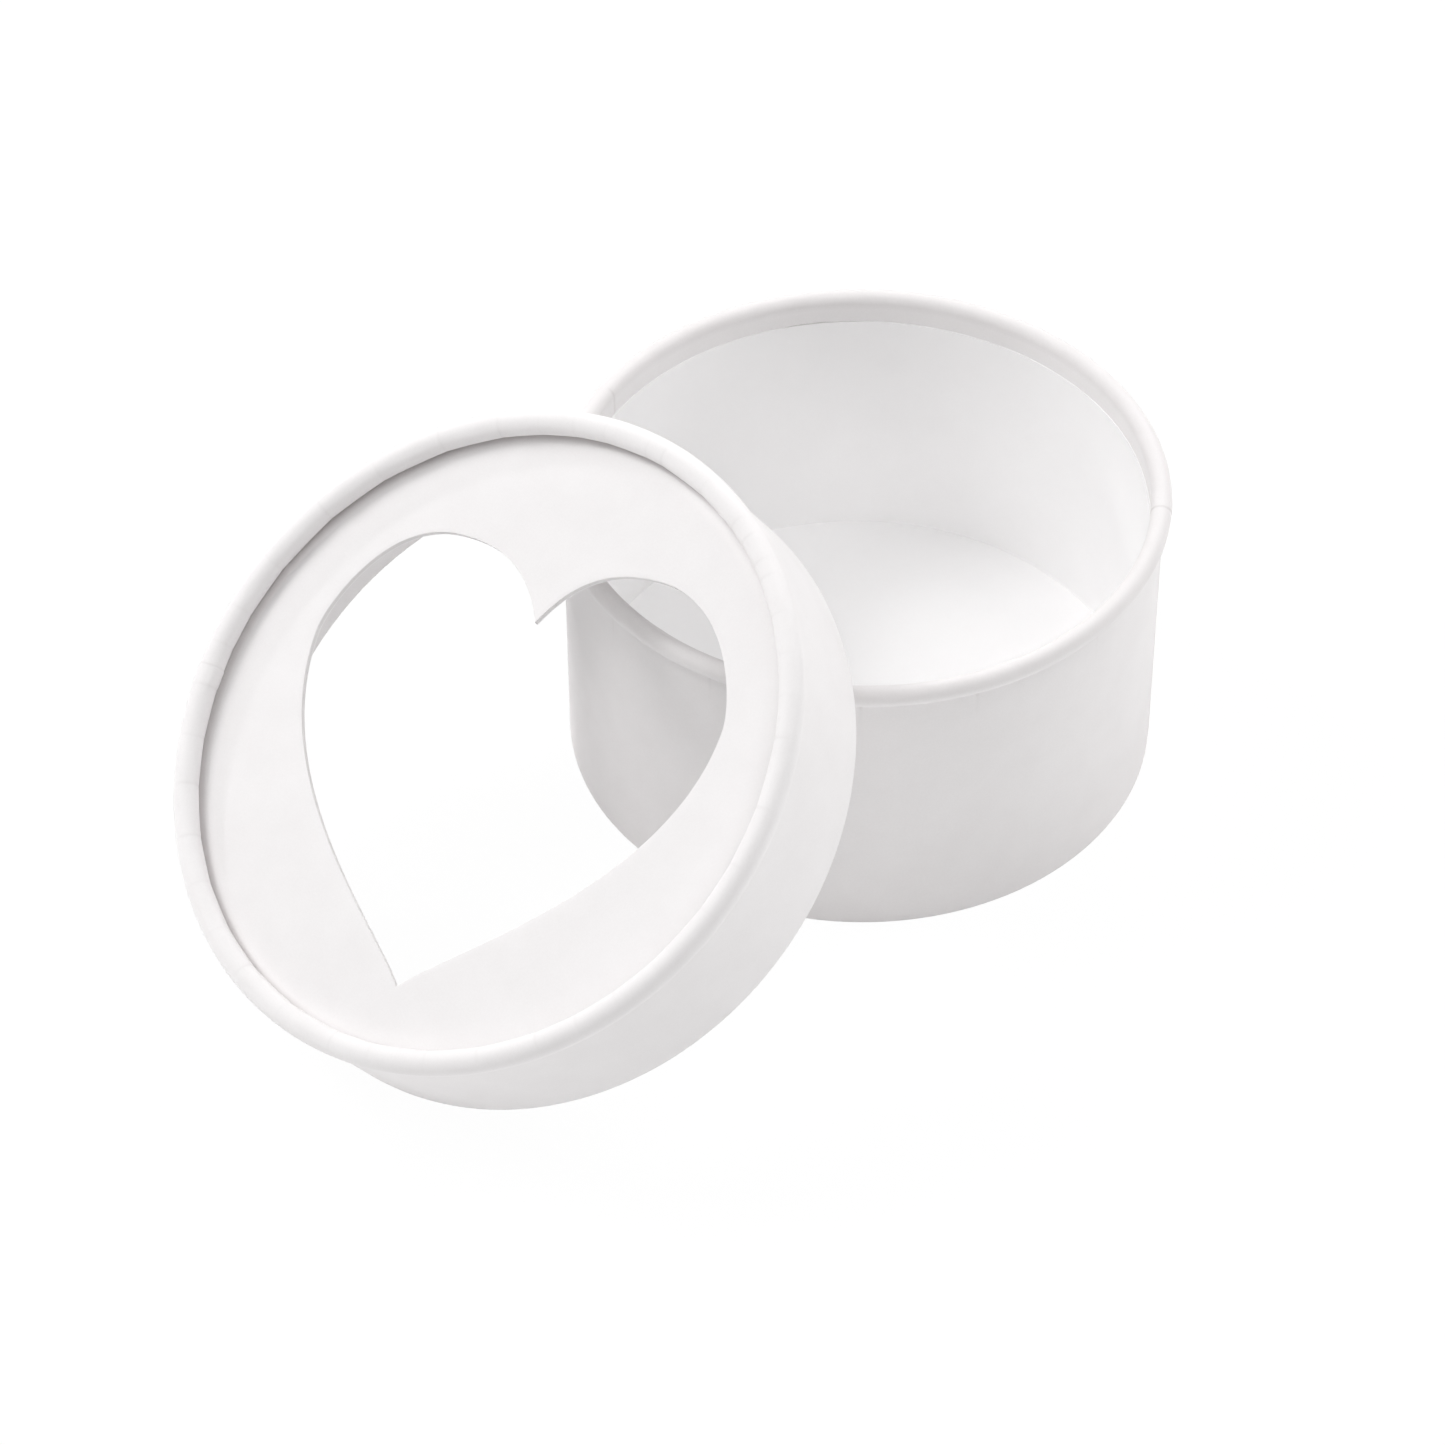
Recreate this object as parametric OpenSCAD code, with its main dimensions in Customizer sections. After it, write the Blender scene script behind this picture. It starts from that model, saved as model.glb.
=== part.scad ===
// Round paperboard gift box with rolled rims: an open base, and a slip-over lid with a
// heart-shaped window. The lid is off: its open edge stands on the table at one side and
// it leans on the rim of the base. Millimetres, +Z up, origin at the centre of the
// underside of the base. The lid leans towards -Y.

/* [Base] */
// Outside diameter of the base wall
base_d = 110; // [90:1:150]
// Height of the base over its rolled rim
base_h = 59; // [50:1:80]
// Thickness of the base's rolled rim, over the wrap
base_rim_d = 3.8; // [3.2:0.1:5]
// Depth of the wrap turned in over the base's rim, from the rim's top
base_turn_in = 5.8; // [4.8:0.1:12]

/* [Lid] */
// Height of the lid over its rolled rim
lid_h = 27.4; // [24:0.1:36]
// Gap all round between the lid's open edge and the base's rim when the lid is on
lid_clearance = 1.9; // [0.8:0.1:2.5]
// Thickness of the lid's rolled rim, over the wrap
lid_rim_d = 4.5; // [3.8:0.1:6]
// How far the lid's rolled rim stands proud of the lid's wall
lid_rim_proud = 0.95; // [0.3:0.05:1.5]
// Depth of the wrap turned in at the lid's open edge
lid_turn_in = 10; // [6:0.5:14]

/* [Board and paper] */
// Thickness of the board of both walls
wall_board = 2; // [1.5:0.1:2.5]
// Thickness of the board of the base's bottom
bottom_board = 1.8; // [1.2:0.1:3]
// Thickness of the board of the lid's top
top_board = 0.8; // [0.6:0.1:1.5]
// Thickness of the wrap and of the facing papers
paper = 0.15; // [0.1:0.01:0.25]
// Thickness of the lining of both walls
lining = 0.3; // [0.2:0.05:0.5]

/* [Heart window] */
// Width of the heart across its widest place
heart_w = 86.5; // [60:0.5:92]
// Height of the heart from the top of its lobes to its tip
heart_h = 81.5; // [65:0.5:86]
// Depth of the cleft between the lobes
heart_cleft = 12.5; // [8:0.1:20]
// Distance between the tops of the two lobes
heart_lobes = 42.2; // [36:0.1:50]
// Drop from the top of the lobes to the widest place
heart_shoulder = 23.3; // [18:0.1:28]
// Distance from the lid's centre down to the middle of the heart's height
heart_drop = 5.5; // [0:0.1:8]
// Turn of the heart about the lid's axis, in degrees
heart_turn = 19.8; // [0:0.1:359]
// Shift of the whole heart sideways off the lid's centre
heart_aside = 0.4; // [-1:0.1:1]
// Sideways bow of the heart's waist against its cleft and tip
heart_bow = 0.5; // [-1:0.1:1]

/* [Leaning lid] */
// Tilt of the leaning lid from flat, in degrees
lean = 34; // [28:0.5:40]
// Gap left between the leaning lid and the base's rim
lean_gap = 0.15; // [0.1:0.05:0.3]

/* [Hidden] */
$fn = 180;

// Shades of the paper, the lining and the bare board
wrap_white = "#efeeec";
lining_white = "#f5f5f5";
board_grey = "#b9b4aa";

// Base: faces of the wall, and the circle that the rolled rim follows, flush with the bore
base_r = base_d / 2;
base_tube_ro = base_r - paper;
base_tube_ri = base_tube_ro - wall_board;
base_rim_r = base_rim_d / 2;
base_core_r = base_rim_r - paper;
base_rim_c = base_tube_ri + base_core_r;
base_rim_z = base_h - base_rim_r;
base_band_z = base_h - base_turn_in;
base_board_z = paper + bottom_board;
base_floor_z = base_board_z + paper;

// Lid, in its own frame: open edge at zero, top upwards
lid_ri = base_rim_c + base_rim_r + lid_clearance;
lid_tube_ri = lid_ri + paper;
lid_tube_ro = lid_tube_ri + wall_board;
lid_r = lid_tube_ro + paper;
lid_rim_r = lid_rim_d / 2;
lid_core_r = lid_rim_r - paper;
lid_rim_c = lid_r + lid_rim_proud - lid_rim_r;
lid_rim_z = lid_h - lid_rim_r;
lid_top_z = lid_rim_z - lid_rim_r;
lid_board_z = lid_top_z - paper - top_board;
lid_under_z = lid_board_z - paper;

// Share of a rim's core that its tube stands up into, below the core's middle
core_seat = 0.5;

// Leaning lid. Its lowest corner stands on the table, so the open edge's centre is this high
lid_z = lid_r * sin(lean);
// Angles round the open edge, from its highest point, at which it may meet the rim
touch_angles = [5:1:95];
// Distance from the rim roll's centre circle to the open edge's inner corner, at angle a
// round the edge and with the edge's centre d away from the base's axis
function edge_to_rim(a, d) =
    let (
        across = lid_ri * sin(a),
        along = lid_ri * cos(a) * cos(lean) - d,
        up = lid_z + lid_ri * cos(a) * sin(lean)
    )
    norm([norm([across, along]) - base_rim_c, up - base_rim_z]);
function gap_at(d) = min([for (a = touch_angles) edge_to_rim(a, d)]) - base_rim_r;
// Slides the lid towards the base in steps until one more step would close the gap
function slide_in(d, step) = gap_at(d - step) > lean_gap ? slide_in(d - step, step) : d;
touch_d = slide_in(slide_in(slide_in(base_r + lid_r, 2), 0.2), 0.01);
// Distance at which the rim would meet the underside of the lid's top instead
poke_room = lid_under_z - base_rim_r - lean_gap;
poke_d = base_rim_c + ((base_rim_z - lid_z) * cos(lean) - poke_room) / sin(lean);
lid_d = max(touch_d, poke_d);

// Heart: how far each control point reaches along its curve's tangent, as a share of the
// span of that curve
heart_steps = 14;
cleft_out = 0.26;
cleft_up = 0.83;
lobe_in = 0.38;
lobe_out = 0.71;
shoulder_up = 0.21;
side_down = 0.5;
tip_out = 0.18;
tip_up = 0.153;

function bezier(a, b, c, d, t) =
    pow(1 - t, 3) * a + 3 * pow(1 - t, 2) * t * b + 3 * (1 - t) * t * t * c + pow(t, 3) * d;
function curve(p) =
    [for (i = [0:heart_steps - 1]) bezier(p[0], p[1], p[2], p[3], i / heart_steps)];
// Right half of the heart, from the cleft over the lobe and down to the tip
function heart_half() =
    let (
        top = heart_h / 2 - heart_drop,
        cleft = [0, top - heart_cleft],
        lobe = [heart_lobes / 2, top],
        wide = [heart_w / 2, top - heart_shoulder],
        tip = [0, top - heart_h],
        side = heart_h - heart_shoulder
    )
    concat(
        curve([
            cleft,
            cleft + [lobe.x * cleft_out, heart_cleft * cleft_up],
            lobe - [lobe.x * lobe_in, 0],
            lobe
        ]),
        curve([
            lobe,
            lobe + [(wide.x - lobe.x) * lobe_out, 0],
            wide + [0, heart_shoulder * shoulder_up],
            wide
        ]),
        curve([
            wide,
            wide - [0, side * side_down],
            tip + [wide.x * tip_out, side * tip_up],
            tip
        ]),
        [tip]
    );

// A point of the heart moved aside, most at half way from the tip, at height low, to the cleft
function set_aside(p, low) =
    let (f = (p.y - low) / (heart_h - heart_cleft))
    [p.x + heart_aside + 4 * heart_bow * f * (1 - f), p.y];

module heart_outline() {
    half = heart_half();
    low = half[len(half) - 1].y;
    other = [for (i = [len(half) - 2:-1:1]) [-half[i].x, half[i].y]];
    rotate(heart_turn) polygon([for (p = concat(half, other)) set_aside(p, low)]);
}

// Flat disc of radius r from height z, t thick
module disc(r, z, t) {
    translate([0, 0, z]) cylinder(h = t, r = r);
}

// Upright ring between radii ri and ro, from height z to z + h
module ring(ri, ro, z, h) {
    rotate_extrude() translate([ri, z]) square([ro - ri, h]);
}

// Wall tube under a rolled rim: its end is hollowed to seat the roll
module seated_tube(ri, ro, z, rim_c, rim_z, core_r) {
    rotate_extrude() difference() {
        translate([ri, z]) square([ro - ri, rim_z - core_r * core_seat - z]);
        translate([rim_c, rim_z]) circle(r = core_r);
    }
}

// Rolled rim: a full ring of tightly curled paperboard
module rim_roll(rim_c, rim_z, core_r) {
    rotate_extrude() translate([rim_c, rim_z]) circle(r = core_r);
}

// Round sheet across the lid's bore, from height z, t thick, with the heart cut out of it
module heart_cut_disc(z, t) {
    translate([0, 0, z]) linear_extrude(t) difference() {
        circle(r = lid_tube_ri);
        heart_outline();
    }
}

// Sets a piece that is drawn in the lid's own frame where the leaning lid stands
module leaning() {
    translate([0, -lid_d, lid_z]) rotate([lean, 0, 0]) children();
}

module base_wall_tube() {
    color(board_grey)
        seated_tube(base_tube_ri, base_tube_ro, paper, base_rim_c, base_rim_z, base_core_r);
}

module base_rim_roll() {
    color(board_grey) rim_roll(base_rim_c, base_rim_z, base_core_r);
}

module base_bottom_board() {
    color(board_grey) disc(base_tube_ri, paper, bottom_board);
}

// Wrap: up the wall, round the roll and down inside as a band
module base_outer_wrap() {
    color(wrap_white) rotate_extrude() difference() {
        union() {
            translate([base_tube_ro, 0]) square([paper, base_rim_z]);
            translate([base_tube_ri - paper, base_band_z])
                square([paper, base_turn_in - base_rim_r]);
            translate([base_rim_c, base_rim_z]) circle(r = base_rim_r);
        }
        translate([base_rim_c, base_rim_z]) circle(r = base_core_r);
        translate([base_tube_ri, 0]) square([wall_board, base_rim_z]);
    }
}

module base_wall_lining() {
    color(lining_white)
        ring(base_tube_ri - lining, base_tube_ri, base_floor_z, base_band_z - base_floor_z);
}

module base_floor_paper() {
    color(lining_white) disc(base_tube_ri, base_board_z, paper);
}

module base_underside_paper() {
    color(wrap_white) disc(base_tube_ro, 0, paper);
}

module lid_wall_tube() {
    color(board_grey) leaning()
        seated_tube(lid_tube_ri, lid_tube_ro, paper, lid_rim_c, lid_rim_z, lid_core_r);
}

module lid_rim_roll() {
    color(board_grey) leaning() rim_roll(lid_rim_c, lid_rim_z, lid_core_r);
}

module lid_top_board() {
    color(board_grey) leaning() heart_cut_disc(lid_board_z, top_board);
}

// Wrap: round the roll, down the wall, round the open edge and up inside
module lid_outer_wrap() {
    color(wrap_white) leaning() rotate_extrude() difference() {
        union() {
            translate([lid_ri, 0]) square([lid_r - lid_ri, lid_rim_z]);
            translate([lid_rim_c, lid_rim_z]) circle(r = lid_rim_r);
        }
        translate([lid_rim_c, lid_rim_z]) circle(r = lid_core_r);
        translate([lid_tube_ri, paper]) square([wall_board, lid_rim_z - paper]);
        translate([lid_ri, lid_turn_in]) square([paper, lid_rim_z - lid_turn_in]);
    }
}

module lid_wall_lining() {
    color(lining_white) leaning()
        ring(lid_tube_ri - lining, lid_tube_ri, lid_turn_in, lid_under_z - lid_turn_in);
}

module lid_top_paper() {
    color(wrap_white) leaning() heart_cut_disc(lid_board_z + top_board, paper);
}

module lid_underside_paper() {
    color(lining_white) leaning() heart_cut_disc(lid_under_z, paper);
}

base_wall_tube();
base_rim_roll();
base_bottom_board();
base_outer_wrap();
base_wall_lining();
base_floor_paper();
base_underside_paper();
lid_wall_tube();
lid_rim_roll();
lid_top_board();
lid_outer_wrap();
lid_wall_lining();
lid_top_paper();
lid_underside_paper();
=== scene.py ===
"""White round gift box with rolled rims, and its lid with a heart window leaning on it."""

import math
import bpy
import numpy as np
from mathutils import Matrix, Vector


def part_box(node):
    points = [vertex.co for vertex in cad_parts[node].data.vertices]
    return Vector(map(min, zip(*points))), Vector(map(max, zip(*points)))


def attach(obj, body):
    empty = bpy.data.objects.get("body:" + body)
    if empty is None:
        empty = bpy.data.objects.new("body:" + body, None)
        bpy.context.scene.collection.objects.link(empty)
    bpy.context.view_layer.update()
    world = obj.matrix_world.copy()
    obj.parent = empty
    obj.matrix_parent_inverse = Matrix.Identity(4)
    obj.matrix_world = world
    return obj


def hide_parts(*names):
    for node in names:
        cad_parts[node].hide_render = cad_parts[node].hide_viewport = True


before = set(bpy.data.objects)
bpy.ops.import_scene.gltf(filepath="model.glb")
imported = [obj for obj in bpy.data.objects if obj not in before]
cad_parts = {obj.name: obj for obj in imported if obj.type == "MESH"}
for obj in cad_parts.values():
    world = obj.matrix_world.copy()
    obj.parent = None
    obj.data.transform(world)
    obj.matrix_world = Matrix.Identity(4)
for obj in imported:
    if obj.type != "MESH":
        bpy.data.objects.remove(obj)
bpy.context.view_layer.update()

# --- Wrap of the base ---------------------------------------------------------------
# One strip of white paper glued round the greyboard wall, over the rolled rim and down
# inside as a band. Its ends meet in a lap; its inner edge is cut by hand, so it wavers.

mm = 0.001
paper = 0.15 * mm
sharp_edge = math.radians(40)
joined, just_over = 1e-7, 1.01


def arc(centre, radius, start, end, steps):
    """Circle arc from start to end degrees: centre plus radius times the cosine and sine."""
    a = np.radians(np.linspace(start, end, steps))
    return centre + radius * np.stack([np.cos(a), np.sin(a)], 1)


def upright(radius, start, end, steps):
    """A straight line at one radius between two heights."""
    return np.stack([np.full(steps, radius), np.linspace(start, end, steps)], 1)


def normals_of(path):
    """Unit normals of a path in the radius-height plane, to the right of its direction:
    the average of the two neighbouring spans, turned by a quarter."""
    span = np.diff(path, axis=0)
    span /= np.linalg.norm(span, axis=1)[:, None]
    mean = np.vstack([span[:1], span[:-1] + span[1:], span[-1:]])
    mean /= np.linalg.norm(mean, axis=1)[:, None]
    return np.stack([mean[:, 1], -mean[:, 0]], 1)


def wander(angles, waves, size, seed):
    """A smooth random ring: a sum of sines of random strength and phase. A wave's strength
    falls with the root of how many of it go round."""
    dice = np.random.default_rng(seed)
    total = np.zeros_like(angles)
    for wave in waves:
        strength = dice.normal() * (waves[0] / wave) ** 0.5
        total += strength * np.sin(wave * angles + dice.uniform(0, 2 * math.pi))
    return size * total / len(waves) ** 0.5


def bump_at(angles, centre, width):
    """A round ridge across the ring at one angle: e to the power of minus the square of the
    distance round the ring over the ridge's width."""
    away = (angles - centre + math.pi) % (2 * math.pi) - math.pi
    return np.exp(-((away / width) ** 2))


def ease(x, low, high):
    """Zero below low, one above high, and between them three squares less two cubes of the
    share of the way."""
    t = np.clip((x - low) / (high - low), 0, 1)
    return t * t * (3 - 2 * t)


def ring_angles(count, creases, width):
    """Even angles round the ring, and nine more across each crease, which is a bell of that
    width."""
    even = np.linspace(0, 2 * math.pi, count, endpoint=False)
    offsets = np.linspace(-2.4, 2.4, 9) * width
    near = (np.asarray(creases)[:, None] + offsets[None, :]).ravel() % (2 * math.pi)
    return np.unique(np.round(np.concatenate([even, near]), 6))


def grid_piece(name, points, along, across, marks=None):
    """A closed form from a grid of points: rows go round the ring, columns follow its
    section, and both close on their first. along and across, in metres on the paper, become
    the UV map. marks, one number for each point, become the attribute of that name."""
    rows, columns = points.shape[:2]
    i, j = np.meshgrid(np.arange(rows), np.arange(columns), indexing="ij")
    here, ahead = i * columns, (i + 1) % rows * columns
    j2 = (j + 1) % columns
    quads = np.stack([here + j, ahead + j, ahead + j2, here + j2], -1).reshape(-1, 4)
    mesh = bpy.data.meshes.new(name)
    mesh.vertices.add(rows * columns)
    mesh.vertices.foreach_set("co", points.reshape(-1).astype(np.float32))
    mesh.loops.add(quads.size)
    mesh.loops.foreach_set("vertex_index", quads.reshape(-1).astype(np.int32))
    mesh.polygons.add(len(quads))
    mesh.polygons.foreach_set("loop_start", np.arange(0, quads.size, 4, dtype=np.int32))
    mesh.update()
    uv = np.stack(
        [
            np.stack([along[i], along[i + 1], along[i + 1], along[i]], -1),
            np.stack([across[j], across[j], across[j + 1], across[j + 1]], -1),
        ],
        -1,
    )
    mesh.uv_layers.new(name="paper").data.foreach_set("uv", uv.reshape(-1).astype(np.float32))
    for mark, values in (marks or {}).items():
        layer = mesh.attributes.new(mark, "FLOAT", "POINT")
        layer.data.foreach_set("value", values.reshape(-1).astype(np.float32))
    mesh.validate()
    mesh.shade_smooth()
    mesh.set_sharp_from_angle(angle=sharp_edge)
    piece = bpy.data.objects.new(name, mesh)
    bpy.context.scene.collection.objects.link(piece)
    return piece


def round_section(name, path, angles, height, place, marks, cut_end, cut, backing=paper):
    """A sheet carried round an axis: each point's radius times the cosine and sine of the
    angle, at the point's height. Its face follows path, moved out along the path's normals
    by height (angles by points), and its back lies one thickness behind the path. cut, one
    number for each angle, lifts the path's first or last point, as cut_end says. place
    takes points about the sheet's own axis to where the sheet lies."""
    normals = normals_of(path)
    face = path[None] + normals[None] * height[..., None]
    back = np.repeat((path - normals * backing)[None], len(angles), 0)
    face[:, cut_end, 1] += cut
    back[:, cut_end, 1] += cut
    loop = np.concatenate([face, back[:, ::-1]], 1)
    x = loop[..., 0] * np.cos(angles)[:, None]
    y = loop[..., 0] * np.sin(angles)[:, None]
    points = place(np.stack([x, y, loop[..., 1]], -1))
    mid = np.concatenate([path, (path - normals * backing)[::-1], path[:1]])
    across = np.concatenate([[0], np.cumsum(np.linalg.norm(np.diff(mid, axis=0), axis=1))])
    along = np.append(angles, angles[0] + 2 * math.pi) * path[:, 0].max()
    both = {}
    for mark, values in marks.items():
        both[mark] = np.concatenate([values, np.zeros_like(values)], 1)
    return grid_piece(name, points, along, across, both)


def on_base(points):
    """The base stands on the origin, so its points stay as they are."""
    return points


def chain(*parts):
    """Joins parts of a path end to end, without the points that two parts share."""
    kept = [np.atleast_2d(parts[0])]
    for part in parts[1:]:
        part = np.atleast_2d(part)
        shared = np.linalg.norm(part[0] - kept[-1][-1]) < joined
        kept.append(part[1:] if shared else part)
    return np.concatenate(kept)


rim_low, rim_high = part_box("base_rim_roll")
base_roll_r = (rim_high.z - rim_low.z) / 2 + paper
base_roll_c = np.array([rim_high.x - (rim_high.z - rim_low.z) / 2, (rim_high.z + rim_low.z) / 2])
base_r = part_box("base_wall_tube")[1].x + paper
base_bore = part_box("base_bottom_board")[1].x
band_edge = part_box("base_wall_lining")[1].z
foot_round, crease_round = 0.35 * mm, 0.6 * mm
wall_from, near_roll = 3 * mm, 1 * mm

# The crease is an arc that touches the wall and the roll from outside.
to_crease = base_r + crease_round - base_roll_c[0]
below_roll = math.sqrt((base_roll_r + crease_round) ** 2 - to_crease**2)
crease_centre = base_roll_c + np.array([to_crease, -below_roll])
meets_roll = math.degrees(math.atan2(-below_roll, to_crease))
base_path = chain(
    arc(np.array([base_r - foot_round, foot_round]), foot_round, -80, 0, 5),
    upright(base_r, wall_from, crease_centre[1] - near_roll, 9),
    arc(crease_centre, crease_round, 180, 180 + meets_roll, 7),
    arc(base_roll_c, base_roll_r, meets_roll, 180, 29),
    upright(base_bore - paper, base_roll_c[1] - near_roll, band_edge, 5),
)

base_lap_at = math.radians(40.3)
base_lap_w = 5.2 * mm / base_r
base_fold_at = math.radians(198)
base_nicks = np.radians([6, 316, 28, 71, 102, 139, 171, 236, 262, 287, 338])
crease_w = 0.3 * mm / base_r
lap_lines = [base_lap_at, base_lap_at + base_lap_w]
base_angles = ring_angles(720, np.concatenate([lap_lines, [base_fold_at], base_nicks]), crease_w)

# Where on the section each thing happens, from zero to one for each point of the path.
base_out, base_up = base_path[:, 0], base_path[:, 1]
wall_ends, foot_sets = (50 * mm, 54 * mm), (0.3 * mm, 3 * mm)
crease_tall, crown_tall = 0.9 * mm, 0.35 * mm
on_wall = 1 - ease(base_up, *wall_ends)
inside = ease(-base_out, -base_roll_c[0], -base_bore)
near_crease = np.exp(-((base_up - crease_centre[1]) / crease_tall) ** 2)
near_crease *= base_out > base_roll_c[0]
off_foot = ease(base_up, *foot_sets)
crown = np.abs(base_up - base_up.max()) < crown_tall

# How high the face stands: the lap's step, slow swells, puckers, and a dent at each nick.
lap_rise, lap_steep, lap_flat = 0.5, 0.25 * mm, 0.6
wall_swell, crease_pucker, band_swell, nick_deep = 0.05 * mm, 0.06 * mm, 0.025 * mm, 0.05 * mm
turn_off = base_angles - base_lap_at
over_lap = ease(turn_off, 0, lap_steep / base_r)
over_lap = over_lap * (1 - ease(turn_off, base_lap_w * lap_flat, base_lap_w))
base_height = over_lap[:, None] * paper * lap_rise * np.ones(len(base_path))
base_height += wander(base_angles, range(3, 24), wall_swell, 4)[:, None] * on_wall
base_height += wander(base_angles, range(20, 90, 3), crease_pucker, 5)[:, None] * near_crease
base_height += wander(base_angles, range(12, 60, 2), band_swell, 6)[:, None] * inside
nicks = np.zeros_like(base_height)
for nick in base_nicks:
    nicks += bump_at(base_angles, nick, crease_w)[:, None] * near_crease
nicks += bump_at(base_angles, base_fold_at, crease_w)[:, None] * inside
base_height -= nick_deep * nicks
base_height = np.minimum(base_height, paper) * off_foot
base_height[:, crown] = np.minimum(base_height[:, crown], 0)

# How dark the paper is: lines at the nicks and the lap, painted shade over the top of the
# roll, and a painted shadow at the foot of the outer wall, which fades upwards to a slight
# darkening of the whole outer wall.
nick_dark, lap_line_w, roll_painted_shade, foot_painted_shade, foot_shade_fades = 0.5, 0.7, 0.45, 0.45, 0.33
foot_tall, roll_shoulder, skin, band_cut = 30 * mm, 0.6 * mm, 0.2 * mm, 0.13 * mm
base_dark = nicks * nick_dark + bump_at(base_angles, base_lap_at, crease_w * lap_line_w)[:, None]
base_roll_at = base_path - base_roll_c
on_base_roll = np.hypot(base_roll_at[:, 0], base_roll_at[:, 1]) < base_roll_r * just_over
on_base_roll = on_base_roll * ease(base_roll_at[:, 1], -roll_shoulder, roll_shoulder)
outside = (base_out > base_r - skin) * (base_up < crease_centre[1])
# Painted shade over the top of the roll, and a painted contact shadow at the foot of the outer
# wall.
base_dark += roll_painted_shade * on_base_roll
base_dark += outside * (foot_painted_shade - foot_shade_fades * ease(base_up, 0, foot_tall))
band_waver = wander(base_angles, range(2, 60, 3), band_cut, 8)

wrap_of_base = round_section(
    "wrap_of_base", base_path, base_angles, base_height, on_base,
    {"crease": np.clip(base_dark, 0, 1)}, -1, band_waver,
)
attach(wrap_of_base, "base")
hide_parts("base_outer_wrap")


class Value:
    """A shader socket that Python's operators work on: each adds one Math node to the
    finish that the socket belongs to."""

    def __init__(self, made, socket):
        self.made, self.socket = made, socket

    def math(self, operation, first, second):
        """A Math node of that operation on two values or numbers."""
        return self.made.node("ShaderNodeMath", {"operation": operation}, {0: first, 1: second})

    def __add__(self, other):
        return self.math("ADD", self, other)

    def __radd__(self, other):
        return self.math("ADD", other, self)

    def __mul__(self, other):
        return self.math("MULTIPLY", self, other)

    def __rmul__(self, other):
        return self.math("MULTIPLY", other, self)

    def __sub__(self, other):
        return self.math("SUBTRACT", self, other)

    def __rsub__(self, other):
        return self.math("SUBTRACT", other, self)


class Finish:
    """A material under construction, with one method that adds any node."""

    def __init__(self, name):
        self.material = bpy.data.materials.new(name)
        self.material.use_nodes = True
        self.tree = self.material.node_tree
        self.shader = self.tree.nodes["Principled BSDF"]
        self.output = self.tree.nodes["Material Output"]

    def node(self, kind, settings=None, sockets=None, out=0):
        """Adds a node, sets its settings first and then its sockets, and returns an output."""
        node = self.tree.nodes.new(kind)
        for key, value in (settings or {}).items():
            setattr(node, key, value)
        for key, value in (sockets or {}).items():
            self.feed(node.inputs[key], value)
        return Value(self, node.outputs[out])

    def feed(self, socket, value):
        """Links a value to a socket, or sets the socket to a number or a colour."""
        if isinstance(value, Value):
            self.tree.links.new(value.socket, socket)
        else:
            socket.default_value = value

    def noise(self, vector, size, detail=3.0, roughness=0.55):
        """Soft noise, from about minus to plus a half, in blotches about size metres across."""
        sockets = {"Vector": vector, "Scale": 1 / size, "Detail": detail, "Roughness": roughness}
        return self.node("ShaderNodeTexNoise", {"noise_dimensions": "3D"}, sockets) - 0.5

    def blend(self, share, low, high):
        """A colour between low and high by a share from zero to one."""
        return self.node("ShaderNodeMix", {"data_type": "RGBA"}, {0: share, 6: low, 7: high}, 2)

    def relief(self, height, distance):
        """A bump of that height field, one unit of it being distance metres high."""
        sockets = {"Height": height, "Distance": distance, "Strength": 1.0}
        return self.node("ShaderNodeBump", None, sockets)

    def paint(self, colour, roughness, normal=None):
        """Gives the shader its colour, roughness and relief."""
        self.feed(self.shader.inputs["Base Color"], colour)
        self.feed(self.shader.inputs["Roughness"], roughness)
        if normal is not None:
            self.feed(self.shader.inputs["Normal"], normal)
        return self.material


blotch_w, fibre_w, cockle_w = 9 * mm, 0.4 * mm, 4 * mm
paper_white, blotchy, grainy, cockled, fibre_high = 0.86, 0.2, 0.25, 1.5, 0.012 * mm
paper_dull, fibre_dull, paper_gloss = 0.6, 0.16, 0.15


def paper_finish(name, light, dark, crease=0.0):
    """Smooth white paper: slow blotches from the glue behind it, fine fibres that show as a
    grain, a soft relief of fibres and cockles, and a darker tone, as strong as crease says,
    where the crease mark is set: at creases and laps, and as painted shade on and beside
    the rolled rims and at the base's foot."""
    made = Finish(name)
    where = made.node("ShaderNodeTexCoord", out="Object")
    clouds = made.noise(where, blotch_w, 2.0)
    fibres = made.noise(where, fibre_w, 4.0, 0.7)
    share = paper_white + clouds * blotchy + fibres * grainy
    if crease:
        # The crease mark darkens creases and laps, and holds painted shade round the rims and at
        # the foot.
        crease_and_shade = made.node("ShaderNodeAttribute", {"attribute_name": "crease"}, out="Fac")
        share = share - crease_and_shade * crease
    height = fibres + made.noise(where, cockle_w, 2.0) * cockled
    normal = made.relief(height, fibre_high)
    made.shader.inputs["Specular IOR Level"].default_value = paper_gloss
    return made.paint(made.blend(share, dark, light), paper_dull + fibres * fibre_dull, normal)


wrap_light = (0.872, 0.856, 0.857, 1)
wrap_dark = (0.63, 0.602, 0.6, 1)
# Its crease mark darkens lines at nicks, dents and laps, and paints shade on the rolls and at the
# base's foot.
wrap_paper = paper_finish("wrap_paper", wrap_light, wrap_dark, crease=0.6)
wrap_of_base.data.materials.append(wrap_paper)

# --- Lining of the base wall ----------------------------------------------------------
# A strip of smoother, whiter paper glued round the inside of the wall, up to the band. It
# is cut a little long, so its ends meet in a soft upright lap.

lining_gap, lining_thick = 0.3 * mm, 0.28 * mm
lining_lap_steep, lining_lap_fades = 0.2 * mm, (0.05, 0.12)


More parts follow.
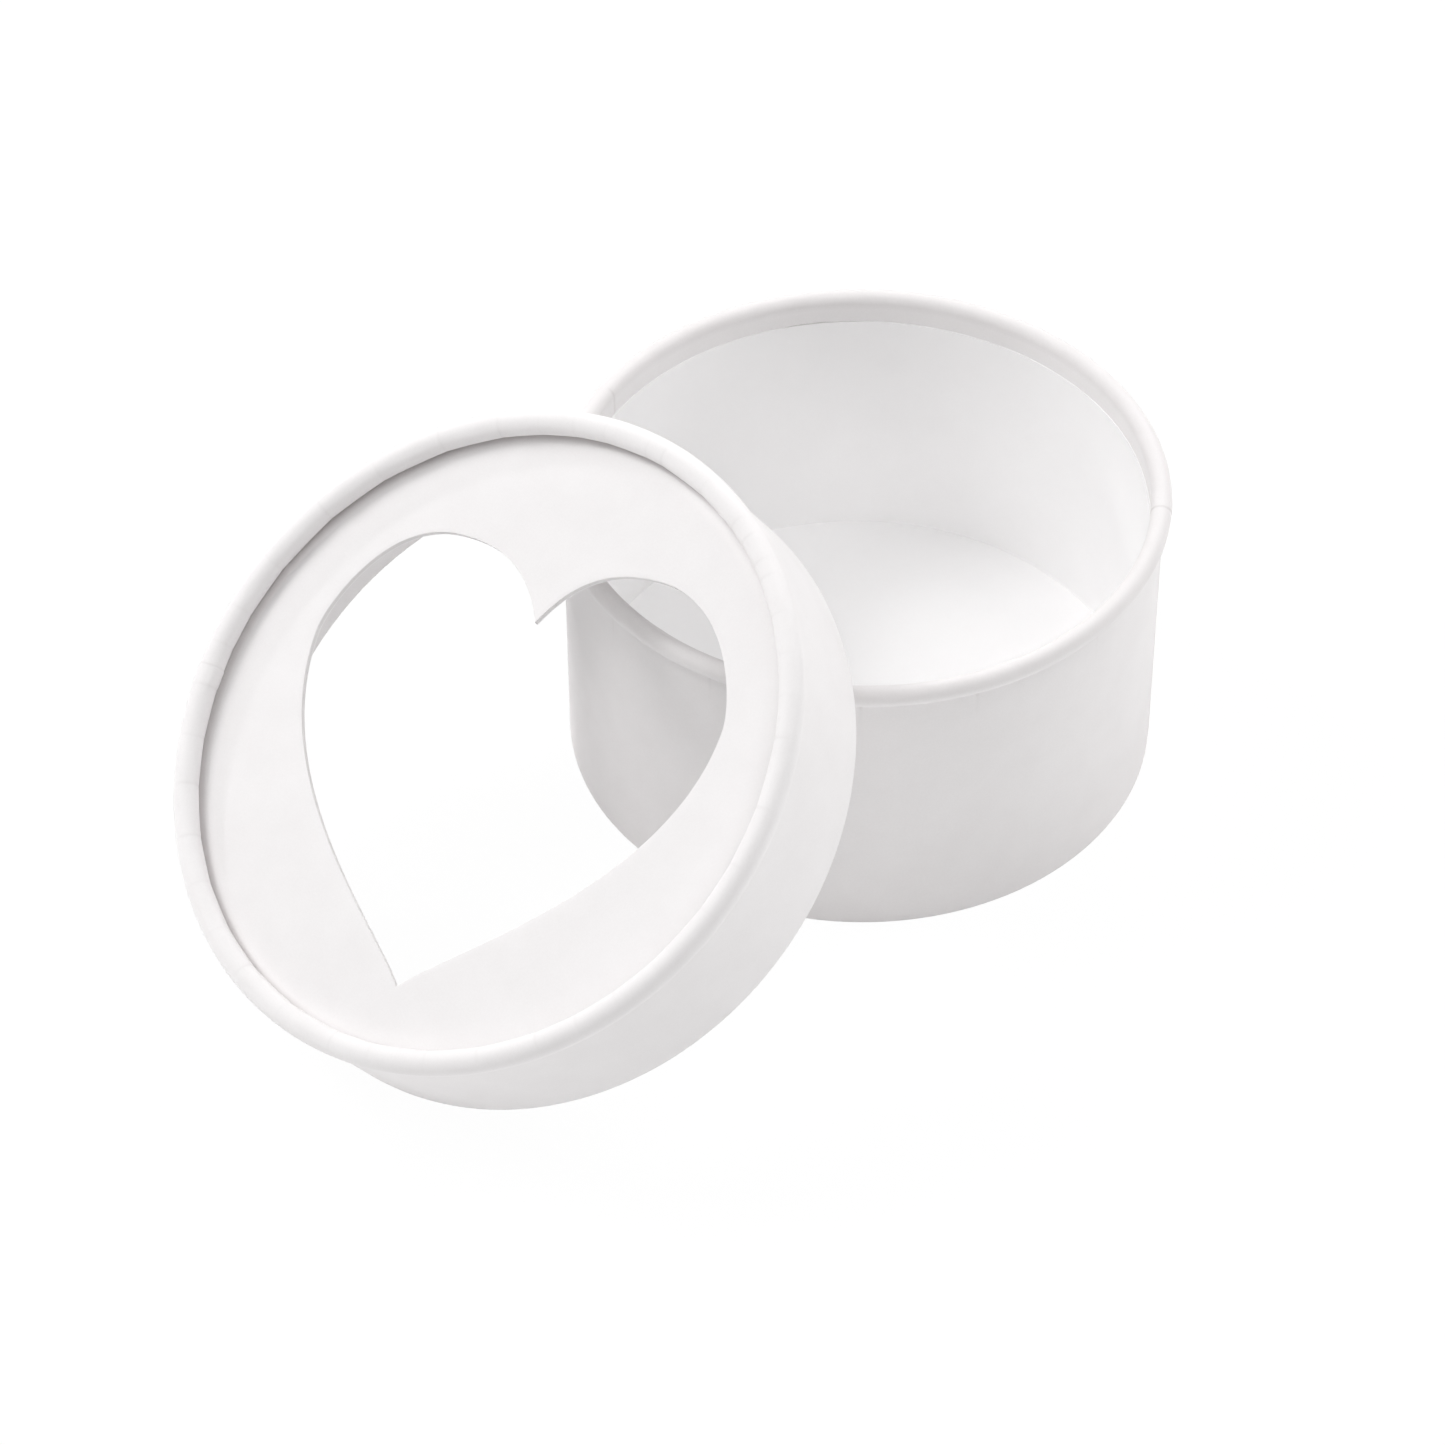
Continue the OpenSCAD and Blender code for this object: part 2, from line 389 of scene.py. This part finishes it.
def wall_lining(name, radius, ends, points, lap, swell, seed, place):
    """A strip round the inside of a wall: a straight path between two heights, its face
    moved inwards by slow random waves. lap is where its ends meet and how much the upper
    one stands off. Both die away at the strip's edges with the root of a half sine."""
    lap_at, lap_stands = lap
    path = upright(radius, *ends, points)
    angles = ring_angles(540, [lap_at], crease_w)
    off = angles - lap_at
    step = ease(off, 0, lining_lap_steep / radius) * (1 - ease(off, *lining_lap_fades))
    inward = wander(angles, range(2, 14), swell, seed) + lap_stands * step
    height = inward[:, None] * np.sin(np.linspace(0, math.pi, points)) ** 0.5
    marks = {"crease": bump_at(angles, lap_at, crease_w)[:, None] * np.ones(points)}
    return round_section(name, path, angles, height, place, marks, -1, 0, lining_thick)


lining_r = base_bore - lining_gap
lining_ends = (band_edge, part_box("base_wall_lining")[0].z)
lining_lap, lining_swell = (math.radians(290), 0.08 * mm), 0.05 * mm
lining_of_base = wall_lining(
    "lining_of_base_wall", lining_r, lining_ends, 15, lining_lap, lining_swell, 11, on_base
)
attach(lining_of_base, "base")
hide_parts("base_wall_lining")
lining_light = (0.948, 0.941, 0.942, 1)
lining_dark = (0.81, 0.802, 0.803, 1)
lining_paper = paper_finish("lining_paper", lining_light, lining_dark, crease=0.25)
lining_of_base.data.materials.append(lining_paper)

# --- Paper on the floor of the base ---------------------------------------------------
# A disc of the lining paper glued on the bottom board. It is cut a little small and its
# edge wavers, so a thin uneven line shows where it meets the wall.

pinhole = 0.0004


def disc_piece(name, edge, angles, middle, curl, swell, thick):
    """A flat sheet cut round: rings of growing share of the edge, which is one radius for
    each angle. The face lies at the middle's height, curled up at the edge by the sixth
    power of the share, and swells three times round by a sine of the angle times the
    squared sine of the share. The back is flat, one thickness lower."""
    shares = np.concatenate([[pinhole], np.linspace(0.04, 0.96, 24), [0.985, 0.995, 1.0]])
    radii = edge[:, None] * shares[None, :]
    face = np.repeat((middle + curl * shares**6)[None], len(angles), 0)
    face += swell * np.sin(3 * angles + 1)[:, None] * np.sin(shares * 2.6)[None, :] ** 2
    back = np.full_like(face, middle - thick)
    r = np.concatenate([radii, radii[:, ::-1]], 1)
    z = np.concatenate([face, back], 1)
    points = np.stack([r * np.cos(angles)[:, None], r * np.sin(angles)[:, None], z], -1)
    across = np.linspace(0, 1, r.shape[1] + 1) * edge.max()
    along = np.append(angles, angles[0] + 2 * math.pi) * edge.max()
    return grid_piece(name, points[:, ::-1], along, across)


floor_low, floor_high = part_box("base_floor_paper")
floor_curl, floor_swell, floor_waver = 0.06 * mm, 0.08 * mm, 0.04 * mm
floor_angles = ring_angles(360, [], crease_w)
floor_edge = lining_r + wander(floor_angles, range(4, 70, 3), floor_waver, 21)
floor_edge = np.minimum(floor_edge, lining_r)
floor_of_base = disc_piece(
    "paper_on_base_floor", floor_edge, floor_angles, floor_high.z, floor_curl, floor_swell,
    floor_high.z - floor_low.z,
)
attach(floor_of_base, "base")
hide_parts("base_floor_paper")
floor_of_base.data.materials.append(lining_paper)

# --- Boards of the base ---------------------------------------------------------------
# Grey chipboard: a spiral-wound tube, a ring of paperboard curled tight into the rim, and
# a die-cut bottom pushed in flush. The papers hide all three.

layer_w, pulp_w, speck_apart = 1.1 * mm, 0.35 * mm, 1.3 * mm
layer_squash = (1.0, 1.0, 9.0)
speck_size, speck_dark, layer_dark, pulp_dark, board_tone = 0.13, 0.5, 0.5, 0.5, 0.6
pulp_high, pulp_rough, pulp_uneven, pulp_gloss = 0.03 * mm, 0.85, 0.1, 0.2


def board_finish(name, light, dark):
    """Chipboard: pressed layers, noise that is squashed in height, with specks of recycled
    print where a Voronoi cell's middle is near, and short fibres as rough as felted pulp."""
    made = Finish(name)
    where = made.node("ShaderNodeTexCoord", out="Object")
    layered = made.node("ShaderNodeMapping", None, {"Vector": where, "Scale": layer_squash})
    layers = made.noise(layered, layer_w, 3.0)
    fibres = made.noise(where, pulp_w, 5.0, 0.75)
    specks = made.node("ShaderNodeTexVoronoi", None, {"Vector": where, "Scale": 1 / speck_apart})
    near = made.node("ShaderNodeMath", {"operation": "LESS_THAN"}, {0: specks, 1: speck_size})
    share = board_tone + layers * layer_dark + fibres * pulp_dark - near * speck_dark
    normal = made.relief(layers + fibres, pulp_high)
    made.shader.inputs["Specular IOR Level"].default_value = pulp_gloss
    rough = pulp_rough + fibres * pulp_uneven
    return made.paint(made.blend(share, dark, light), rough, normal)


def finish_node(node, material):
    """Gives a node of the frame a material."""
    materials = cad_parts[node].data.materials
    materials.clear()
    materials.append(material)


board_light = (0.52, 0.495, 0.46, 1)
board_dark = (0.3, 0.28, 0.255, 1)
greyboard = board_finish("greyboard", board_light, board_dark)
for node in ("base_wall_tube", "base_rim_roll", "base_bottom_board"):
    finish_node(node, greyboard)

# --- Paper under the base -------------------------------------------------------------
# A disc of the wrap's paper glued under the bottom board, so that no grey shows when the
# box is picked up.

underside_paper = paper_finish("underside_paper", wrap_light, wrap_dark)
finish_node("base_underside_paper", underside_paper)

# --- Wrap of the lid ------------------------------------------------------------------
# The lid's paper goes round the open edge, up the wall and over the rolled rim. Inside the
# rim it has to close up, so it bridges from crease to crease in short facets.

lean = math.radians(34)
lid_rim_z, lid_turn_in, hair = 25.15 * mm, 10 * mm, 0.01 * mm
roll_low, roll_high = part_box("lid_rim_roll")
roll_middle = np.array((roll_low + roll_high) / 2)
roll_span = np.array(roll_high) - np.array(roll_low)
# The roll is a ring of round section. In its box the lean shortens the ring along Y but not
# the section, so the box's two widths give both radii.
lid_roll_c = (roll_span[0] - roll_span[1]) / 2 / (1 - math.cos(lean))
lid_roll_r = roll_span[0] / 2 - lid_roll_c + paper - hair
lid_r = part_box("lid_wall_tube")[1].x + paper
lid_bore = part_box("lid_top_board")[1].x
lean_c, lean_s = math.cos(lean), math.sin(lean)
tilt = np.array([[1, 0, 0], [0, lean_c, lean_s], [0, -lean_s, lean_c]])


def on_lid(points):
    """Points round the lid's own axis, their height counted from its open edge, are tilted
    about X and moved so that the rolled rim's middle lies where the frame has it."""
    return (points - np.array([0, 0, lid_rim_z])) @ tilt + roll_middle


edge_round, waist_round = 0.55 * mm, 0.8 * mm
# The waist is an arc that touches the wall and the roll from outside.
out_to_waist = lid_r + waist_round - lid_roll_c
under_roll = math.sqrt((lid_roll_r + waist_round) ** 2 - out_to_waist**2)
waist_centre = np.array([lid_roll_c + out_to_waist, lid_rim_z - under_roll])
waist_meets = math.degrees(math.atan2(-under_roll, out_to_waist))
mouth_r = lid_bore - paper
mouth_from, lid_wall_from, near_waist = 1.2 * mm, 2 * mm, 0.8 * mm
lid_path = chain(
    upright(mouth_r, lid_turn_in, mouth_from, 5),
    arc(np.array([mouth_r + edge_round, edge_round]), edge_round, 180, 270, 6),
    arc(np.array([lid_r - edge_round, edge_round]), edge_round, 270, 360, 6),
    upright(lid_r, lid_wall_from, waist_centre[1] - near_waist, 7),
    arc(waist_centre, waist_round, 180, 180 + waist_meets, 6),
    arc(np.array([lid_roll_c, lid_rim_z]), lid_roll_r, waist_meets, 262, 32),
)

# Where the paper is creased round the rim, in degrees, and past the last at random gaps.
creases = [39.5, 47, 54.5, 61.8, 65, 70.3, 74.2, 84, 94.5, 98.2, 107.5, 114, 121, 129, 140.5]
creases += [153.5, 165.5, 178.5, 188.5, 195.5, 203.6, 213, 222, 232, 241.5, 251.5, 261, 272.5]
dice = np.random.default_rng(31)
more_creases = creases[-1] + np.cumsum(dice.uniform(7.5, 12.5, 20))
more_creases = more_creases[more_creases < 360 + 33]
creases = np.sort(np.radians(np.concatenate([creases, more_creases])) % (2 * math.pi))
lid_crease_w = 0.28 * mm / lid_roll_c
lid_lap_at = math.radians(199.9)
lid_lap_w = 4.3 * math.pi / 180
lid_lap_lines = [lid_lap_at, lid_lap_at + lid_lap_w]
lid_angles = ring_angles(430, np.append(creases, lid_lap_lines), lid_crease_w)


def facets(angles, corners):
    """How far a straight chord between two corners lies inside their circle, as a share of
    the radius: one minus the cosine of half the gap over the cosine of the angle from the
    gap's middle."""
    ends = np.append(corners, corners[0] + 2 * math.pi)
    at = np.where(angles < corners[0], angles + 2 * math.pi, angles)
    k = np.clip(np.searchsorted(ends, at, side="right") - 1, 0, len(corners) - 1)
    half = (ends[k + 1] - ends[k]) / 2
    return 1 - np.cos(half) / np.cos(at - ends[k] - half)


# Where on the section each thing happens. Round the roll, 0 degrees is outwards, 90 is its
# top and 180 faces the window.
lid_out, lid_up = lid_path[:, 0], lid_path[:, 1]
roll_turn = np.degrees(np.arctan2(lid_up - lid_rim_z, lid_out - lid_roll_c))
roll_turn = (roll_turn + 60) % 360 - 60
facet_turns, dent_turns, shaded_turns, crown_turns = (95, 175), (30, 110), (190, 220), 40
waist_tall, skirt_from, skirt_ends = 1.2 * mm, (1 * mm, 6 * mm), (17 * mm, 22 * mm)
on_roll = np.hypot(lid_out - lid_roll_c, lid_up - lid_rim_z) < lid_roll_r * just_over
lid_crown = on_roll & (np.abs(roll_turn - 90) < crown_turns)
facet_side = np.where(on_roll, ease(roll_turn, *facet_turns), 0)
dented_side = np.where(on_roll, ease(roll_turn, *dent_turns), 0)
# Painted shade: where the roll turns under towards the panel, its paper is darkened.
shaded_under_roll = np.where(on_roll, ease(roll_turn, *shaded_turns), 0)
lid_outside = lid_out > lid_r - 0.1 * mm
at_waist = np.exp(-((lid_up - waist_centre[1]) / waist_tall) ** 2) * lid_outside
skirt = lid_outside * ease(lid_up, *skirt_from) * (1 - ease(lid_up, *skirt_ends))

# How high the face stands: facets, puckers at the waist, slow swells, dents, and the lap.
facet_share, waist_pucker, skirt_swell = 0.45, 0.09 * mm, 0.05 * mm
dent_deep, lid_lap_rise, lid_lap_flat, lid_lap_from = 0.02 * mm, 0.8, 0.7, 3 * mm
lid_height = facet_share * facets(lid_angles, creases)[:, None] * lid_roll_c * facet_side
lid_height += wander(lid_angles, range(18, 70, 3), waist_pucker, 33)[:, None] * at_waist
lid_height += wander(lid_angles, range(3, 26), skirt_swell, 34)[:, None] * skirt
dents = np.zeros_like(lid_height)
depths = np.random.default_rng(35).uniform(0.35, 1.0, len(creases))
for crease, depth in zip(creases, depths):
    dents += depth * bump_at(lid_angles, crease, lid_crease_w)[:, None] * dented_side
lid_height -= dent_deep * dents
lap_off = lid_angles - lid_lap_at
lid_lap = ease(lap_off, 0, lap_steep / lid_r)
lid_lap = lid_lap * (1 - ease(lap_off, lid_lap_w * lid_lap_flat, lid_lap_w))
lid_height += lid_lap[:, None] * paper * (lid_up > lid_lap_from) * lid_lap_rise
lid_height[:, lid_crown] = np.minimum(lid_height[:, lid_crown], 0.0)

# How dark the paper is: faint at the dents, a line at the lap, and painted shade deep under
# the roll, next to the panel.
dent_dark, lap_dark, under_roll_shade, turn_in_cut = 0.25, 0.45, 0.8, 0.2 * mm
lid_lap_line = bump_at(lid_angles, lid_lap_at, lid_crease_w * lap_line_w)
lid_dark = dents * dent_dark + lap_dark * lid_lap_line[:, None] + under_roll_shade * shaded_under_roll
turn_in_waver = wander(lid_angles, range(3, 50, 3), turn_in_cut, 36)

wrap_of_lid = round_section(
    "wrap_of_lid", lid_path, lid_angles, lid_height, on_lid,
    {"crease": np.clip(lid_dark, 0, 1)}, 0, turn_in_waver,
)
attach(wrap_of_lid, "lid")
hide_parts("lid_outer_wrap")
wrap_of_lid.data.materials.append(wrap_paper)

# --- Boards of the lid ----------------------------------------------------------------
# The lid's wall tube and its curled rim are the same grey chipboard as the base's, and the
# wrap hides them both.

for node in ("lid_wall_tube", "lid_rim_roll"):
    finish_node(node, greyboard)

# --- Top of the lid -------------------------------------------------------------------
# A round panel of board lined with paper on both faces and punched in one stroke with a
# heart. The stroke turns the top paper's edge down a little and leaves the board bare.

heart_turn = math.radians(19.8)
heart_w, heart_h = 86.5 * mm, 81.5 * mm
cleft_deep, lobe_apart, shoulder, heart_drop = 12.5 * mm, 42.2 * mm, 23.3 * mm, 5.5 * mm
heart_aside, heart_bow = 0.4 * mm, 0.5 * mm
# How far each curve's two ends pull it, as shares of the span beside them.
cleft_pull, lobe_pull, lobe_pull_out, wide_pull_up = (0.26, 0.83), 0.38, 0.71, 0.21
wide_pull_down, tip_pull = 0.5, (0.18, 0.153)


def bezier(p0, p1, p2, p3, steps):
    """A cubic curve between p0 and p3 pulled towards p1 and p2, without its last point."""
    t = np.linspace(0, 1, steps, endpoint=False)[:, None]
    return (1 - t) ** 3 * p0 + 3 * t * (1 - t) ** 2 * p1 + 3 * t * t * (1 - t) * p2 + t**3 * p3


def heart_ring(steps):
    """The heart's outline from cleft to tip and back: three cubic curves a side, one side
    the mirror of the other. It is set aside by heart_aside and by four times heart_bow
    times the share of the way up times what is left of it, and then turned."""
    top = heart_h / 2 - heart_drop
    side = heart_h - shoulder
    cleft, lobe = np.array([0, top - cleft_deep]), np.array([lobe_apart / 2, top])
    wide, tip = np.array([heart_w / 2, top - shoulder]), np.array([0, top - heart_h])
    from_cleft = cleft + [lobe[0] * cleft_pull[0], cleft_deep * cleft_pull[1]]
    over = [from_cleft, lobe - [lobe[0] * lobe_pull, 0]]
    down = [lobe + [(wide - lobe)[0] * lobe_pull_out, 0], wide + [0, shoulder * wide_pull_up]]
    to_tip = tip + [wide[0] * tip_pull[0], side * tip_pull[1]]
    in_to_tip = [wide - [0, side * wide_pull_down], to_tip]
    half = np.concatenate(
        [
            bezier(cleft, *over, lobe, steps),
            bezier(lobe, *down, wide, steps),
            bezier(wide, *in_to_tip, tip, 2 * steps),
            tip[None],
        ]
    )
    ring = np.concatenate([half, half[-2:0:-1] * [-1, 1]])
    climb = (ring[:, 1] - tip[1]) / (cleft[1] - tip[1])
    ring[:, 0] += heart_aside + 4 * heart_bow * climb * (1 - climb)
    c, s = math.cos(heart_turn), math.sin(heart_turn)
    return ring @ np.array([[c, s], [-s, c]])


def levels(node):
    """Lowest and highest height of a flat round sheet above the lid's open edge. Tilting
    moves the ends of its box by its radius times the sine of the lean, and shortens heights
    by the cosine."""
    low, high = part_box(node)
    reach = (high.x - low.x) / 2 * math.sin(lean)
    ends = np.array([low.z + reach, high.z - reach])
    return (ends - roll_middle[2]) / math.cos(lean) + lid_rim_z


# Painted shade on the panel: its paper is darkened from just inside the rolled rim's inner edge
# outwards, under the rim.
shade_inside_rim, groove_shade_fades = 0.9 * mm, 1.2 * mm
groove_shade_from = lid_roll_c - lid_roll_r - shade_inside_rim


def window_sheet(name, node, soften, swell, seed):
    """A flat round sheet with the heart cut out. Rows go round the heart and, at the same
    angle, round the rim; columns cross from one to the other over the face and come back
    under it. A quarter circle of radius soften rounds the face's cut edge. The face sinks
    by swell times one plus a sine of twice the angle times a sine of five radii, times the
    half sine of the way across. Its crease mark is painted shade in the groove beside the
    rolled rim."""
    heart = heart_ring(70)
    ahead, behind = np.roll(heart, -1, 0), np.roll(heart, 1, 0)
    outward = (ahead - behind) @ np.array([[0, 1], [-1, 0]])
    outward /= np.linalg.norm(outward, axis=1)[:, None]
    rim = heart / np.linalg.norm(heart, axis=1)[:, None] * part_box(node)[1].x
    low, high = levels(node)
    turn = np.linspace(0, math.pi / 2, 4)
    lip = heart[:, None] + outward[:, None] * (soften * (1 - np.cos(turn)))[None, :, None]
    lip_z = np.repeat((high - soften * (1 - np.sin(turn)))[None], len(heart), 0)
    shares = 1 - (1 - np.linspace(0, 1, 27)[1:]) ** 1.5
    face = lip[:, -1:] + (rim[:, None] - lip[:, -1:]) * shares[None, :, None]
    angle = np.arctan2(face[..., 1], face[..., 0])
    reach = np.linalg.norm(face, axis=-1) / np.linalg.norm(rim[0])
    sunk = swell * (1 + np.sin(2 * angle + seed) * np.sin(5 * reach)) * np.sin(math.pi * shares)
    flat = np.concatenate([lip, face, rim[:, None], heart[:, None]], 1)
    z = np.concatenate([lip_z, high - sunk, np.full((len(heart), 2), low)], 1)
    points = on_lid(np.concatenate([flat, z[..., None]], -1))
    along = np.append(0, np.cumsum(np.linalg.norm(ahead - heart, axis=1)))
    across = np.linspace(0, 20 * mm, flat.shape[1] + 1)
    # Painted shade in the groove beside the rolled rim.
    groove = ease(np.linalg.norm(flat, axis=-1), groove_shade_from, groove_shade_from + groove_shade_fades)
    piece = grid_piece(name, points, along, across, {"crease": groove})
    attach(piece, "lid")
    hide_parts(node)
    return piece


punched, cut_clean, panel_swell = 0.08 * mm, 0.02 * mm, 0.06 * mm
top_paper = window_sheet("paper_on_lid_top", "lid_top_paper", punched, panel_swell, 1.1)
# The panel's crease mark holds only the painted shade beside the rim.
panel_paper = paper_finish("panel_paper", wrap_light, wrap_dark, crease=0.6)
top_paper.data.materials.append(panel_paper)

top_board = window_sheet("board_of_lid_top", "lid_top_board", cut_clean, 0, 0)
card_light = (0.86, 0.845, 0.845, 1)
card_dark = (0.74, 0.72, 0.715, 1)
top_board.data.materials.append(board_finish("lid_card", card_light, card_dark))

under_paper = window_sheet("paper_under_lid_top", "lid_underside_paper", cut_clean, 0, 0)
under_paper.data.materials.append(lining_paper)

# --- Lining of the lid wall -----------------------------------------------------------
# A strip of the lining paper glued round the inside of the lid's wall, from the turned-in
# edge of the wrap up to the panel.

lid_lining_ends = (levels("lid_underside_paper")[0] - hair, lid_turn_in)
lid_lining_lap, lid_lining_swell = (math.radians(20), 0.06 * mm), 0.04 * mm
lining_of_lid = wall_lining(
    "lining_of_lid_wall", lid_bore - lining_gap, lid_lining_ends, 11, lid_lining_lap,
    lid_lining_swell, 41, on_lid,
)
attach(lining_of_lid, "lid")
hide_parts("lid_wall_lining")
lining_of_lid.data.materials.append(lining_paper)

# --- Tabletop and studio light --------------------------------------------------------
# A plain white table that shows white to the lens and keeps a faint shadow, inside an even
# white surround. Round lamps stand about it: broad ones, and a small one low on the left
# that draws the rim's shadow on the window.


def white_to_the_lens(made):
    """One for a ray from the lens or off a gloss or through glass, and zero for others."""
    seen = made.node("ShaderNodeLightPath", out="Is Camera Ray")
    mirrored = made.node("ShaderNodeLightPath", out="Is Glossy Ray")
    passed = made.node("ShaderNodeLightPath", out="Is Transmission Ray")
    either = made.node("ShaderNodeMath", {"operation": "MAXIMUM"}, {0: seen, 1: mirrored})
    return made.node("ShaderNodeMath", {"operation": "MAXIMUM"}, {0: either, 1: passed})


table_half, table_glow, table_white = 4.0, 0.25, 0.95
table_mesh = bpy.data.meshes.new("tabletop")
corners = [(x * table_half, y * table_half, 0) for x, y in ((-1, -1), (1, -1), (1, 1), (-1, 1))]
table_mesh.from_pydata(corners, [], [(0, 1, 2, 3)])
tabletop = bpy.data.objects.new("tabletop", table_mesh)
bpy.context.scene.collection.objects.link(tabletop)
matt = Finish("tabletop")
matt.shader.inputs["Base Color"].default_value = (0.8, 0.8, 0.8, 1)
matt.shader.inputs["Roughness"].default_value = 0.9
matt.shader.inputs["Emission Color"].default_value = (1, 1, 1, 1)
matt.shader.inputs["Emission Strength"].default_value = table_glow
glow = matt.node("ShaderNodeEmission", None, {"Color": (1, 1, 1, 1), "Strength": 1.0})
shaded = Value(matt, matt.shader.outputs[0])
whitened = white_to_the_lens(matt) * table_white
shown = matt.node("ShaderNodeMixShader", None, {0: whitened, 1: shaded, 2: glow})
matt.feed(matt.output.inputs["Surface"], shown)
table_mesh.materials.append(matt.material)


class Surround(Finish):
    """The same tools for the world's shader."""

    def __init__(self, name):
        self.world = bpy.data.worlds.new(name)
        self.world.use_nodes = True
        self.tree = self.world.node_tree
        self.shader = self.tree.nodes["Background"]


surround = Surround("surround")
fill = 0.02
surround.shader.inputs["Color"].default_value = (1, 1, 1, 1)
surround.feed(surround.shader.inputs["Strength"], white_to_the_lens(surround) * (1 - fill) + fill)
bpy.context.scene.world = surround.world

lamp_far = 1.5
lamp_aim = Vector((0, -0.035, 0.035))


def softbox(azimuth, height, size, watts):
    """A round lamp that shines at the middle of the box and its lid from lamp_far away, at
    azimuth degrees round it from X towards Y and height degrees above it."""
    light = bpy.data.lights.new("softbox", "AREA")
    light.shape, light.size, light.energy = "DISK", size, watts
    turn, rise = math.radians(azimuth), math.radians(height)
    flat, up = lamp_far * math.cos(rise), lamp_far * math.sin(rise)
    away = Vector((flat * math.cos(turn), flat * math.sin(turn), up))
    holder = bpy.data.objects.new("softbox", light)
    holder.location = away + lamp_aim
    holder.rotation_euler = (-away).to_track_quat("-Z", "Y").to_euler()
    bpy.context.scene.collection.objects.link(holder)


for azimuth, height, size, watts in (
    (188, 25, 0.05, 2.8),
    (198, 49, 0.45, 2.2),
    (220, 44, 0.45, 3.8),
    (220, 54, 0.45, 2.9),
    (180, 62, 0.75, 0.9),
    (210, 35, 0.75, 2.8),
    (240, 8, 0.75, 2.2),
    (270, 62, 0.75, 1.5),
    (315, 62, 0.75, 3.0),
    (330, 35, 0.75, 3.4),
    (30, 20, 0.75, 0.9),
    (45, 62, 0.75, 4.2),
    (60, 8, 0.75, 2.0),
    (70, 35, 0.75, 6.0),
    (120, 35, 0.75, 7.0),
):
    softbox(azimuth, height, size, watts)

# --- Camera ---------------------------------------------------------------------------
# It looks down on the box from the front right, with a long lens. Its place is in metres,
# and its axes are unit vectors.

lens_place = Vector((0.52365, -0.51057, 0.70651))
lens_right = Vector((0.67550436, 0.73734208, -0.00452937))
lens_up = Vector((-0.51102294, 0.4725762, 0.71800229))
lens_back = Vector((0.53155378, -0.48269906, 0.696026))
camera = bpy.data.objects.new("camera", bpy.data.cameras.new("camera"))
camera.data.sensor_width = 36.0
camera.data.lens = 132.96
camera.data.clip_start, camera.data.clip_end = 0.05, 20
turned = Matrix((lens_right, lens_up, lens_back)).transposed().to_4x4()
turned.translation = lens_place
camera.matrix_world = turned
bpy.context.scene.collection.objects.link(camera)
bpy.context.scene.camera = camera
bpy.context.scene.view_settings.view_transform = "Standard"
